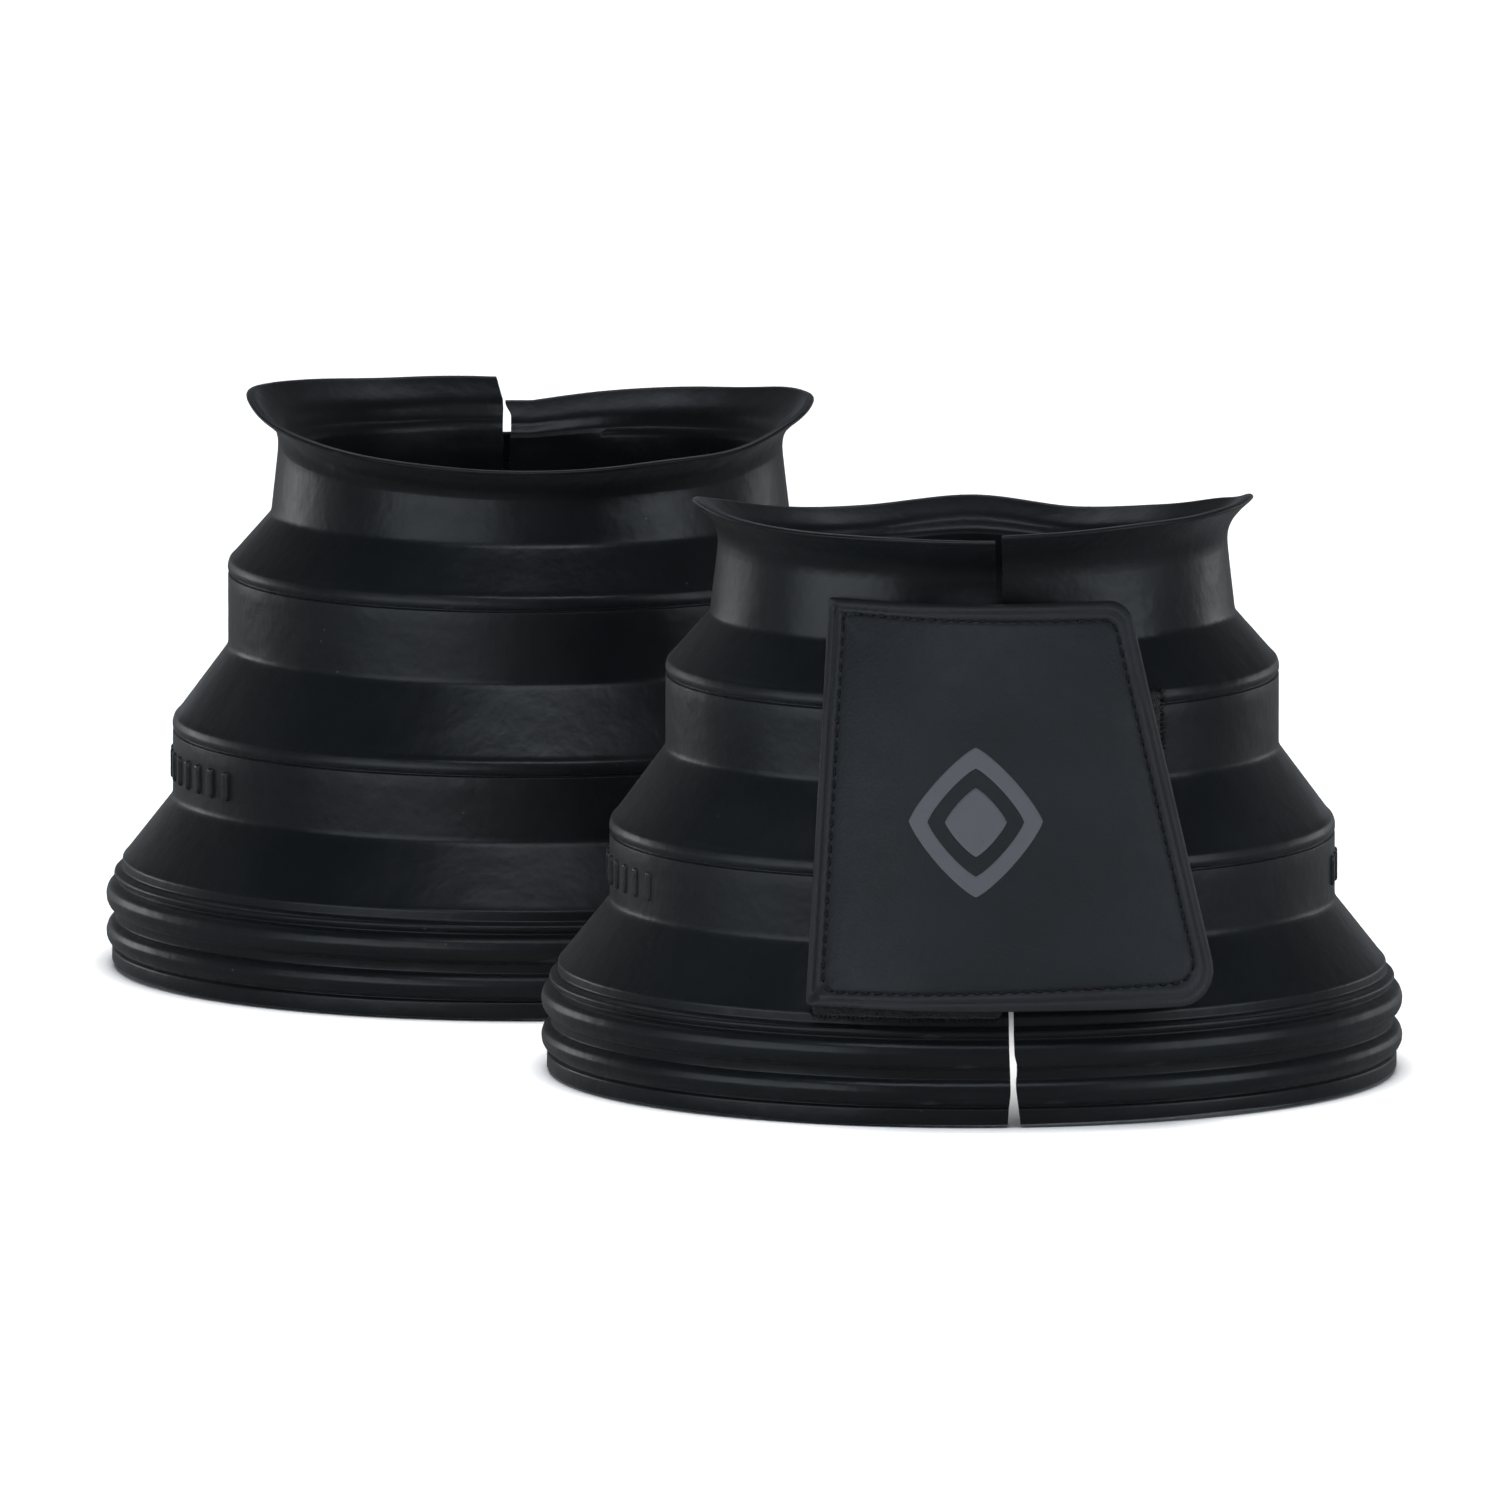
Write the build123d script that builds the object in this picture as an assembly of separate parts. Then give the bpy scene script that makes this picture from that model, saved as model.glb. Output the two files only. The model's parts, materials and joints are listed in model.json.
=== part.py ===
from build123d import *
import os
from math import sqrt

# A pair of bell boots: stepped rubber bells, split down the front, each closed by a
# hook-and-loop tab under a padded flap. Millimetres, +Z up, origin on the ground
# midway between the two boots. Each boot is built about its own axis with its split
# towards -Y, then put in its place.

# Where the boots stand
BOOT_X = 45.0
BOOT_Y = -76.5

# The bell's wall
WALL = 4.0
RIM_R = 86.3
RIM_TOP = 3.3
RIB_R = 87.5
RIB_FOOT_R = 85.7
RIBS = [(3.9, 9.4), (11.5, 17.3)]
LEDGE_R = 84.0
LEDGE_LOW = 20.0
LEDGE_TOP = 22.6
LEDGE_CHAMFER = 1.0
BANDS = [(73.7, 34.8, 48.8), (62.3, 66.0, 81.0)]
BEAD_HEIGHT = 4.8
BEAD_IN = 1.5
BEAD_PROUD = 0.1
BEAD_PEAK = 0.4
GROOVE = 0.5
NECK_R = 53.3
NECK_WAIST_R = 52.4
NECK_LOW = 93.6
NECK_TOP = 109.0
NECK_BORE_R = 49.0
LIP_R = 57.2
LIP_TOP = 118.2
LIP_WALL = 1.8
FLARE_SAG = 0.9

# How much lower each corner is on the inside, so that the sloping walls keep their thickness
CORNER_DROP = 1.0

# The lip is lower at the front and back than at the sides
SADDLE_LOW = 111.0
SADDLE_R = 270.0

# The split, leaning a little so that it is nearer the middle at the collar
SPLIT_WIDTH = 2.2
SPLIT_X_LOW = 8.2
SPLIT_X_HIGH = 5.1
SPLIT_PAST = 5.0

# The raised row on the lower band, on both sides of the boot
# The middle of each row, in degrees around the boot from its right, and how many bars it has
PIP_ROWS = ((180.0, 12), (12.0, 9))
PIP_STEP_DEG = 5.0
PIP_WIDTH = 2.4
PIP_HEIGHT = 6.4
PIP_PROUD = 0.6
PIP_Z = 41.8

# The cone that lies on the bands' beads and carries the closure
CONE_R = 62.8
CONE_Z = 82.5
CONE_SLOPE = 0.365
CONE_COS = 1 / sqrt(1 + CONE_SLOPE**2)
SKIN_LOW = 10.0
SKIN_HIGH = 110.0
FRONT_REACH = 130.0

# Distances from that cone at which each layer of the closure starts and ends
LOOP_PAD = (0.0, 0.8)
LOOP_PAD_THREAD = (0.8, 0.95)
FLAP_ANCHOR = (0.8, 3.2)
FLAP_ANCHOR_THREAD = (3.2, 3.6)
TAB_HOOK = (1.3, 1.9)
TAB_BASE = (1.9, 2.5)
TAB_LOOP = (2.5, 3.3)
TAB_THREAD = (3.3, 3.5)
TAB_ANCHOR = (0.0, 3.0)
TAB_ANCHOR_THREAD = (3.0, 3.3)
FLAP_HOOK = (3.9, 4.5)
FLAP_LINING = (4.5, 5.0)
FLAP_CORE = (5.0, 6.8)
FLAP_PANEL = (6.8, 7.8)
FLAP_BINDING = (4.5, 7.8)
FLAP_BADGE = (7.8, 8.0)
FLAP_THREAD = (7.8, 8.2)
FLAP_FOLD = 6.0
TAB_FOLD = 3.3

# The closure's outlines as seen from the front: x at the top and at the foot
FLAP_TOP = 102.5
FLAP_FOOT = 24.0
FLAP_LEFT = (-29.1, -33.8)
FLAP_RIGHT = (31.4, 50.2)
FLAP_CORNER_R = 7.0
FIELD_CORNER_R = 2.0
BINDING_WIDTH = 5.0
ANCHOR_WIDTH = 6.0
ANCHOR_SEAM_IN = 4.2
ANCHOR_MARGIN = 0.5
HINGE_IN = 7.0
HOOK_PAD_LEFT = -6.0
HOOK_PAD_MARGIN = 6.0
LOOP_PAD_TOP = 97.0
LOOP_PAD_FOOT = 22.4
LOOP_PAD_GAP = 2.0
TAB_TOP = 84.0
TAB_FOOT = 34.0
TAB_LEFT = -6.5
TAB_HINGE_X = 35.5
TAB_ANCHOR_X = (36.3, 41.0)
TAB_HOOK_RIGHT = 3.0
TAB_CORNER_R = 4.0
BADGE_CENTRE = (0.5, 61.0)
BADGE_SIZE = (27.0, 29.0)
BADGE_RING = 4.0
BADGE_CORE = 0.4

# Thread
STITCH_PITCH = 4.2
STITCH_LENGTH = 3.0
STITCH_WIDTH = 0.8
STITCH_IN = 0.8


def outer_chain():
    """The outside of the bell from the rim up to the lip."""
    low_rib, high_rib = RIBS
    bands = [band_edges(*band) for band in BANDS]
    foot = [(RIM_R, 0), (RIM_R, RIM_TOP), (RIB_FOOT_R, low_rib[0])]
    ledge = [(RIB_FOOT_R, high_rib[1]), (RIB_FOOT_R, LEDGE_LOW - LEDGE_CHAMFER), (LEDGE_R, LEDGE_LOW),
             (LEDGE_R, LEDGE_TOP)]
    edges = [Polyline(*foot), rib(*low_rib), Line((RIB_FOOT_R, low_rib[1]), (RIB_FOOT_R, high_rib[0]))]
    edges += [rib(*high_rib), Polyline(*ledge)]
    last = ledge[-1]
    for start, band, end in bands:
        edges += [Line(last, start), *band]
        last = end
    middle = (NECK_LOW + NECK_TOP) / 2
    edges.append(Line(last, (NECK_R, NECK_LOW)))
    edges.append(ThreePointArc((NECK_R, NECK_LOW), (NECK_WAIST_R, middle), (NECK_R, NECK_TOP)))
    flare = ((NECK_R + LIP_R) / 2 - FLARE_SAG, (NECK_TOP + LIP_TOP) / 2)
    edges.append(ThreePointArc((NECK_R, NECK_TOP), flare, (LIP_R, LIP_TOP)))
    return edges


def rib(low, high):
    """One rounded rib at the foot of the bell."""
    return ThreePointArc((RIB_FOOT_R, low), (RIB_R, (low + high) / 2), (RIB_FOOT_R, high))


def band_edges(radius, low, high):
    """One upright band with a groove and a rounded bead on top: its first point, edges, last point."""
    start = (radius, low)
    under = (radius - GROOVE, high)
    end = (radius - BEAD_IN, high + BEAD_HEIGHT)
    upright = Polyline(start, (radius, high - 2 * GROOVE), (radius - GROOVE, high - GROOVE), under)
    bead = ThreePointArc(under, (radius + BEAD_PROUD, high + BEAD_HEIGHT * BEAD_PEAK), end)
    return start, [upright, bead], end


def inner_chain():
    """The inside of the bell from the lip down to the rim, one wall in from the outside."""
    inside = LIP_R - LIP_WALL
    bend = ((inside + NECK_BORE_R) / 2 - FLARE_SAG, (LIP_TOP + NECK_TOP) / 2)
    points = [(NECK_BORE_R, NECK_TOP), (NECK_BORE_R, NECK_LOW - CORNER_DROP)]
    for radius, low, high in reversed(BANDS):
        bore = radius - WALL
        points += [(bore - BEAD_IN, high + BEAD_HEIGHT - CORNER_DROP), (bore, high - CORNER_DROP),
                   (bore, low - CORNER_DROP)]
    points += [(LEDGE_R - WALL, LEDGE_LOW), (RIM_R - WALL, LEDGE_LOW - WALL), (RIM_R - WALL, 0)]
    edges = [Line((LIP_R, LIP_TOP), (inside, LIP_TOP))]
    edges.append(ThreePointArc((inside, LIP_TOP), bend, points[0]))
    edges.append(Polyline(*points, (RIM_R, 0)))
    return edges


def shell():
    """The moulded rubber bell."""
    section = make_face(Plane.XZ * Curve(outer_chain() + inner_chain()))
    bell = revolve(section, Axis.Z)
    bell -= Pos(0, 0, SADDLE_LOW + SADDLE_R) * Rot(90, 0, 0) * Cylinder(SADDLE_R, 4 * LIP_R)
    bell += pips()
    return bell - front_prism(split_slot())


def split_slot():
    """The split in the front view, from below the foot to above the lip."""
    half = SPLIT_WIDTH / 2
    low = -SPLIT_PAST
    high = LIP_TOP + SPLIT_PAST
    corners = [(split_x(low) - half, low), (split_x(low) + half, low),
               (split_x(high) + half, high), (split_x(high) - half, high)]
    return Polygon(*corners, align=None)


def split_x(z):
    """Where the middle of the split is at a height."""
    return SPLIT_X_LOW + (SPLIT_X_HIGH - SPLIT_X_LOW) * z / LIP_TOP


def pips():
    """The raised bars on the lower band, a row on each side."""
    radius = BANDS[0][0]
    bar = extrude(SlotOverall(PIP_HEIGHT, PIP_WIDTH), PIP_PROUD + WALL / 2)
    out = Pos(radius - WALL / 2, 0, PIP_Z) * Rot(0, 90, 0) * bar
    turns = [middle + (i - (count - 1) / 2) * PIP_STEP_DEG for middle, count in PIP_ROWS for i in range(count)]
    return [Rot(0, 0, turn) * out for turn in turns]


def front_prism(outline):
    """An outline of the front view, carried from the boot's axis out through its front."""
    return extrude(Plane.XZ * outline, FRONT_REACH)


def window(left, right, low=0.0, high=SKIN_HIGH):
    """A rectangle of the front view, as tall as the closure where no heights are given."""
    return Pos((left + right) / 2, (low + high) / 2) * Rectangle(right - left, high - low)


def cone_radius(z, distance=0.0):
    """The radius of the closure's cone at a height, at a distance off its surface."""
    return CONE_R + CONE_SLOPE * (CONE_Z - z) + distance / CONE_COS


def skin(layer):
    """The full ring of one layer of the closure."""
    inner, outer = layer
    corners = [(cone_radius(SKIN_LOW, inner), SKIN_LOW), (cone_radius(SKIN_LOW, outer), SKIN_LOW),
               (cone_radius(SKIN_HIGH, outer), SKIN_HIGH), (cone_radius(SKIN_HIGH, inner), SKIN_HIGH)]
    return revolve(Plane.XZ * Polygon(*corners, align=None), Axis.Z)


def patch(layer, outline):
    """The part of a layer that lies under an outline of the front view."""
    return skin(layer) & front_prism(outline)


def edge_x(edge, z):
    """Where a side edge of the flap is at a height."""
    top, foot = edge
    return top + (foot - top) * (FLAP_TOP - z) / (FLAP_TOP - FLAP_FOOT)


def flap_outline(margin, left):
    """The flap's outline, drawn in by a margin on three sides, from a distance off its left edge."""
    high = FLAP_TOP - margin
    low = FLAP_FOOT + margin
    corners = [(edge_x(FLAP_LEFT, low) + left, low), (edge_x(FLAP_RIGHT, low) - margin, low),
               (edge_x(FLAP_RIGHT, high) - margin, high), (edge_x(FLAP_LEFT, high) + left, high)]
    outline = Polygon(*corners, align=None)
    right = outline.vertices().sort_by(Axis.X)[-2:]
    return fillet(right, max(FLAP_CORNER_R - margin, FIELD_CORNER_R))


def sewn(path, closed=False):
    """Stitches along a path of the front view, as flat marks."""
    count = round(path.length / STITCH_PITCH)
    gaps = count if closed else count - 1
    marks = Sketch()
    for i in range(count):
        place = path.position_at(i / gaps)
        turn = path.tangent_angle_at(i / gaps)
        marks += Pos(place.X, place.Y) * Rot(0, 0, turn) * SlotOverall(STITCH_LENGTH, STITCH_WIDTH)
    return marks


def border(outline, margin):
    """The closed line that runs a margin inside an outline."""
    return offset(outline, -margin).wires()[0]


def flap():
    """The flap's pieces, all on the flap's own body."""
    field = flap_outline(BINDING_WIDTH, HINGE_IN)
    whole = flap_outline(0, HINGE_IN)
    line = flap_outline(BINDING_WIDTH + STITCH_IN, HINGE_IN + STITCH_LENGTH / 2)
    hooks = window(HOOK_PAD_LEFT, FLAP_RIGHT[1]) & flap_outline(HOOK_PAD_MARGIN, HINGE_IN)
    return {
        "flap_panel": patch(FLAP_PANEL, field),
        "flap_core": patch(FLAP_CORE, field),
        "flap_lining": patch(FLAP_LINING, field),
        "flap_binding": patch(FLAP_BINDING, whole - field),
        "flap_hook_pad": patch(FLAP_HOOK, hooks),
        "flap_badge": patch(FLAP_BADGE, badge()),
        "flap_stitching": patch(FLAP_THREAD, sewn(open_border(line))),
    }


def open_border(outline):
    """An outline's line without its left edge, as one path."""
    edges = outline.edges().sort_by(lambda edge: edge.center().X)[1:]
    return Wire(edges)


def badge():
    """A plain lozenge inside a lozenge frame."""
    outer = lozenge(1)
    frame = outer - offset(outer, -BADGE_RING)
    return Pos(*BADGE_CENTRE) * (frame + lozenge(BADGE_CORE))


def lozenge(share):
    """A lozenge of a share of the badge's size."""
    half_width, half_height = (size * share / 2 for size in BADGE_SIZE)
    return Polygon((half_width, 0), (0, half_height), (-half_width, 0), (0, -half_height), align=None)


def tab():
    """The closing tab's pieces, all on the tab's own body."""
    plain = window(TAB_LEFT, TAB_HINGE_X, TAB_FOOT, TAB_TOP)
    whole = fillet(plain.vertices().sort_by(Axis.X)[:2], TAB_CORNER_R)
    hooks = window(TAB_LEFT, TAB_HOOK_RIGHT) & whole
    return {
        "tab_base": patch(TAB_BASE, whole),
        "tab_hook_pad": patch(TAB_HOOK, hooks),
        "tab_loop_pad": patch(TAB_LOOP, whole),
        "tab_stitching": patch(TAB_THREAD, sewn(border(whole, 2 * STITCH_WIDTH), closed=True)),
    }


def tab_anchor():
    """The tab's sewn end on the shell, and the thread that holds it."""
    strip = window(*TAB_ANCHOR_X, TAB_FOOT, TAB_TOP)
    middle = sum(TAB_ANCHOR_X) / 2
    line = Line((middle, TAB_FOOT + STITCH_PITCH), (middle, TAB_TOP - STITCH_PITCH))
    return {
        "tab_anchor": patch(TAB_ANCHOR, strip),
        "tab_anchor_stitching": patch(TAB_ANCHOR_THREAD, sewn(line)),
    }


def flap_anchor():
    """The flap's sewn edge on the shell, and the thread that holds it."""
    strip = side_strip(0, ANCHOR_WIDTH)
    high = FLAP_TOP - STITCH_PITCH
    low = FLAP_FOOT + STITCH_PITCH
    seam = [(edge_x(FLAP_LEFT, z) + ANCHOR_SEAM_IN, z) for z in (low, high)]
    return {
        "flap_anchor": patch(FLAP_ANCHOR, strip),
        "flap_anchor_stitching": patch(FLAP_ANCHOR_THREAD, sewn(Line(*seam))),
    }


def side_strip(left, right):
    """A strip of the front view along the flap's left edge, between two distances from it."""
    corners = [(edge_x(FLAP_LEFT, z) + shift, z)
               for shift, z in ((left, FLAP_FOOT), (right, FLAP_FOOT), (right, FLAP_TOP), (left, FLAP_TOP))]
    return Polygon(*corners, align=None)


def loop_pad():
    """The loop pad on the shell, from the flap's sewn edge to the split, and the thread round it."""
    corners = [(edge_x(FLAP_LEFT, LOOP_PAD_FOOT), LOOP_PAD_FOOT),
               (split_x(LOOP_PAD_FOOT) - LOOP_PAD_GAP, LOOP_PAD_FOOT),
               (split_x(LOOP_PAD_TOP) - LOOP_PAD_GAP, LOOP_PAD_TOP),
               (edge_x(FLAP_LEFT, LOOP_PAD_TOP), LOOP_PAD_TOP)]
    whole = Polygon(*corners, align=None)
    uncovered = whole - side_strip(-ANCHOR_WIDTH, ANCHOR_WIDTH + ANCHOR_MARGIN)
    return {
        "shell_loop_pad": patch(LOOP_PAD, whole),
        "loop_pad_stitching": patch(LOOP_PAD_THREAD, sewn(border(uncovered, 2 * STITCH_WIDTH), closed=True)),
    }


def hinge_line(x_top, x_foot, high, low, distance):
    """Two points of a straight fold line that lies at a distance off the closure's cone."""
    points = []
    for x, z in ((x_top, high), (x_foot, low)):
        points.append((x, -sqrt(cone_radius(z, distance)**2 - x**2), z))
    return points


boot = {"shell": shell(), **flap_anchor(), **loop_pad(), **tab_anchor(), **flap(), **tab()}

os.makedirs("parts", exist_ok=True)
for side, turn in (("right", 0), ("left", 180)):
    place = Rot(0, 0, turn) * Pos(BOOT_X, BOOT_Y, 0)
    for name, piece in boot.items():
        export_step(place * piece, f"parts/{side}_{name}.step")

flap_hinge = hinge_line(FLAP_LEFT[0] + HINGE_IN, FLAP_LEFT[1] + HINGE_IN, FLAP_TOP, FLAP_FOOT, FLAP_FOLD)
tab_hinge = hinge_line(TAB_HINGE_X, TAB_HINGE_X, TAB_TOP, TAB_FOOT, TAB_FOLD)
print("flap hinge about a boot's own axis:", flap_hinge)
print("tab hinge about a boot's own axis:", tab_hinge)
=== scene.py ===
"""The looks of a pair of bell boots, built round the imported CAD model.

Each boot is drawn in its own coordinates, in millimetres: its axis is x = y = 0, its split faces -Y and
z = 0 is the ground. put() carries a drawing to its place in the row frame, in metres. The left boot is the
right one turned by half a turn.
"""
import json
import math

import bmesh
import bpy
import numpy as np
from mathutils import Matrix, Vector


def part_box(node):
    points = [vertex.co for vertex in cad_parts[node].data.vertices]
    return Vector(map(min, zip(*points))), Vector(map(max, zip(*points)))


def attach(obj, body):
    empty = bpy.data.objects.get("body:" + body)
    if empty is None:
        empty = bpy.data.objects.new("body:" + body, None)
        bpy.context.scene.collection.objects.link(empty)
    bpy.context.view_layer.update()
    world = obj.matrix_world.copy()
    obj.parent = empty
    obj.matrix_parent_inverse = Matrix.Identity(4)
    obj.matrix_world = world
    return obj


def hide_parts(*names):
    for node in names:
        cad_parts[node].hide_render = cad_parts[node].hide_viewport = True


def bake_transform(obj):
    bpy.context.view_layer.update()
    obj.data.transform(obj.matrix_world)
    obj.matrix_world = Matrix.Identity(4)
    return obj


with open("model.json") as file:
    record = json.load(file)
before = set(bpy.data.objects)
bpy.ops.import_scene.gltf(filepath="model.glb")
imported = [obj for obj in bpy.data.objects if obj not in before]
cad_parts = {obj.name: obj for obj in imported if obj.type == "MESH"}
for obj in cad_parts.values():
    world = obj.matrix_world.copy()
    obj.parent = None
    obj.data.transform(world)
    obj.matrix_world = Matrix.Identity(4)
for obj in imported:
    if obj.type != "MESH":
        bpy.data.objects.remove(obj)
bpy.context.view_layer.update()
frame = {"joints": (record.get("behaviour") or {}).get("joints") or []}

MM = 0.001
SIDES = {"right": 1, "left": -1}
# How far up the left boot's textures are moved, in mm, so that the two boots aren't worn alike
LEFT_TEXTURE_SHIFT = 400.0
shell_low, shell_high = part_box("right_shell")
BOOT_X = (shell_low.x + shell_high.x) / 2 / MM
BOOT_Y = (shell_low.y + shell_high.y) / 2 / MM

# The bell
WALL = 4.0
RIM_R = 86.3
BAND_R = 73.7
RIB_R = (shell_high.x - shell_low.x) / 2 / MM
LIP_Z = 117.6
# How high the lip stands around each boot, at even steps from the split's right face to its left face
LIP_HEIGHTS = {"right": (116.0, 116.8, 117.2, 117.6, 117.2, 113.8, 109.8, 107.9, 109.7,
                         107.8, 109.6, 113.4, 116.6, 116.8, 116.0, 115.4, 114.8),
               "left": (113.1, 114.6, 115.6, 117.2, 118.0, 115.2, 112.0, 110.1, 109.6,
                        110.3, 111.4, 115.0, 117.1, 116.0, 113.9, 112.0, 109.0)}
LIP_WIDER = {"right": 0.0, "left": 1.5}
# Where the bell starts to follow its lip up and down, and where it starts to follow it out and in
SQUEEZE_LOW = 94.0
FLARE_LOW = 106.0
WEAR_SEED = {"right": 31, "left": 47}
# How finely the bell is drawn: columns round it, and millimetres along its profile
COLUMNS = 372
PROFILE_STEP = 3.2
SHARP_DEG = 50

# The split: its place and its width, at the ground and at the collar
SPLIT_X_LOW = 8.2
SPLIT_X_HIGH = 5.1
SPLIT_GAP_LOW = 2.5
SPLIT_GAP_HIGH = 1.0
SPLIT_SEED = {"right": 11, "left": 12}
# How much of the torn corner at the top of its split each boot has
TORN = {"right": 0.0, "left": 1.0}

# The raised bars on the lower band: each row's middle, in degrees around the boot from the split, and how
# many bars it has
BAR_ROWS = ((102.0, 9), (270.0, 12))
BAR_STEP_DEG = 5.0
BAR_WIDTH = 2.4
BAR_HEIGHT = 6.4
BAR_PROUD = 0.55
BAR_SUNK = 0.3
BAR_Z = 41.8

# The cone that the closure lies on, which touches the beads
CONE_R = 62.8
CONE_Z = 82.5
CONE_SLOPE = 0.365
CONE_COS = 1 / math.sqrt(1 + CONE_SLOPE**2)

# Outlines seen from the front, each with its corners' radii: top left, foot left, foot right, top right
FLAP_CORNERS = [(-29.1, 102.5), (-33.8, 24.0), (50.2, 24.0), (31.4, 102.5)]
FLAP_RADII = [0.8, 0.8, 6.5, 5.5]
SEAM_CORNERS = [(-26.0, 99.9), (-30.4, 26.9), (45.3, 28.8), (28.5, 98.9)]
SEAM_RADII = [1.2, 2.5, 3.6, 3.2]
FLAP_THICK = 3.3
SWELL_CAP = 0.55
BADGE_CENTRE = (0.5, 61.0)
BADGE_HALF = (13.5, 14.5)
TAB_CORNERS = [(-6.5, 84.0), (-6.5, 34.0), (37.8, 34.0), (37.8, 84.0)]
TAB_RADII = [4.0, 4.0, 1.0, 1.0]
TAB_THICK = 1.9
PAD_CORNERS = [(-26.5, 97.0), (-32.6, 22.0), (6.0, 22.0), (3.4, 97.0)]
PAD_RADII = [1.0, 1.0, 1.5, 1.5]
PAD_THICK = 0.8
HOOK_CORNERS = [(-5.5, 96.0), (-5.5, 30.5), (42.5, 30.5), (26.8, 96.0)]
HOOK_RADII = [2.0, 2.0, 4.0, 4.0]
TAB_HOOK_CORNERS = [(-5.0, 81.5), (-5.0, 36.5), (3.0, 36.5), (3.0, 81.5)]
TAB_HOOK_RADII = [2.5, 2.5, 1.0, 1.0]
HOOK_PITCH = 1.5
HOOK_MARGIN = 1.5
HOOK_R = 0.1
OUTLINE_PITCH = 0.8
SHEET_PITCH = 1.2

# How far pieces bend on the boot's side of a fold line and on the flap's, and the rows of points cut there
FOLD_CUTS = (-3.4, 4.0)
FOLD_ROWS = 14

# Light
FLOOR_BRIGHTNESS = 1.05
SKY_BRIGHTNESS = 0.06
HORIZON_BRIGHTNESS = 0.62
BELOW_BRIGHTNESS = 0.13
COOL = (0.90, 0.97, 1.06)
WHITE = (1, 1, 1)
FLOOR_COLOR = 0.93
SOFTBOX_TARGET = (0, 0, 0.06)
# Each softbox's name, place, width, height, brightness and colour
SOFTBOXES = (("softbox_left", (-0.46, -0.42, 0.16), 0.56, 0.28, 1.7, COOL),
             ("softbox_right", (0.98, -0.50, 0.36), 0.62, 0.62, 2.0, COOL),
             ("softbox_back", (0.0, 0.9, 1.3), 1.4, 0.6, 1.1, COOL),
             ("softbox_front_high", (0.0, -0.60, 0.92), 0.9, 0.28, 3.3, COOL),
             ("softbox_back_left", (-0.93, 0.78, 0.12), 0.5, 0.22, 2.0, WHITE),
             ("softbox_back_right", (0.93, 0.78, 0.12), 0.5, 0.22, 1.2, WHITE))

# Thread and fibre
STITCH_PITCH = 2.5
STITCH_LENGTH = 1.8
STITCH_R = 0.3
STITCH_DIP = 0.42
THREAD_LIFT = 0.02
FIBRE_R = 0.055
FIBRE_BEND = 0.6


# ---- numbers

def smooth(value, low=0.0, high=1.0):
    """0 before low, 1 after high, and an even rise between them."""
    t = np.clip((np.asarray(value, float) - low) / (high - low), 0, 1)
    return t * t * (3 - 2 * t)


def ripple(angle, seed, waves, falloff=0.8):
    """A repeatable wavy line round a circle, about -1 to 1, made of a few sine waves."""
    random = np.random.default_rng(seed)
    total = np.zeros_like(np.asarray(angle, float))
    for wave in waves:
        total += wave**-falloff * np.sin(wave * angle + random.uniform(0, 2 * math.pi))
    return total / sum(wave**-falloff for wave in waves)


def through(values, share):
    """A smooth curve through evenly spaced values, read at shares of the way along them."""
    line = np.concatenate([[2 * values[0] - values[1]], values, [2 * values[-1] - values[-2]]])
    at = np.clip(share, 0, 1) * (len(values) - 1)
    first = np.minimum(at.astype(int), len(values) - 2)
    t = at - first
    a, b, c, d = (line[first + i] for i in range(4))
    return b + 0.5 * t * (c - a + t * (2 * a - 5 * b + 4 * c - d + t * (3 * (b - c) + d - a)))


def unit(vectors):
    """Vectors of the same directions, one long."""
    return vectors / np.linalg.norm(vectors, axis=-1, keepdims=True)


def run_along(line):
    """How far along a line each of its points is."""
    return np.concatenate([[0], np.cumsum(np.linalg.norm(np.diff(line, axis=0), axis=1))])


def softened(points):
    """A line through (x, y, softness) points, with its corners rounded and its long runs divided."""
    points = np.asarray(points, float)
    line = [points[0, :2]]
    for before, here, after in zip(points, points[1:], points[2:]):
        if here[2] <= 0:
            line.append(here[:2])
            continue
        back, ahead = before[:2] - here[:2], after[:2] - here[:2]
        back_length, ahead_length = np.linalg.norm(back), np.linalg.norm(ahead)
        start = here[:2] + back / back_length * min(here[2], 0.48 * back_length)
        end = here[:2] + ahead / ahead_length * min(here[2], 0.48 * ahead_length)
        line += [(1 - t)**2 * start + 2 * t * (1 - t) * here[:2] + t * t * end for t in (0, 0.33, 0.67, 1)]
    line.append(points[-1, :2])
    full = [line[0]]
    for start, end in zip(line, line[1:]):
        count = max(1, math.ceil(np.linalg.norm(end - start) / PROFILE_STEP))
        full += [start + (end - start) * i / count for i in range(1, count + 1)]
    return np.array(full)


def resampled(line, shares):
    """The points of a line at shares of its length."""
    run = run_along(line)
    return np.stack([np.interp(shares * run[-1], run, line[:, k]) for k in range(line.shape[1])], 1)


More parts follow.
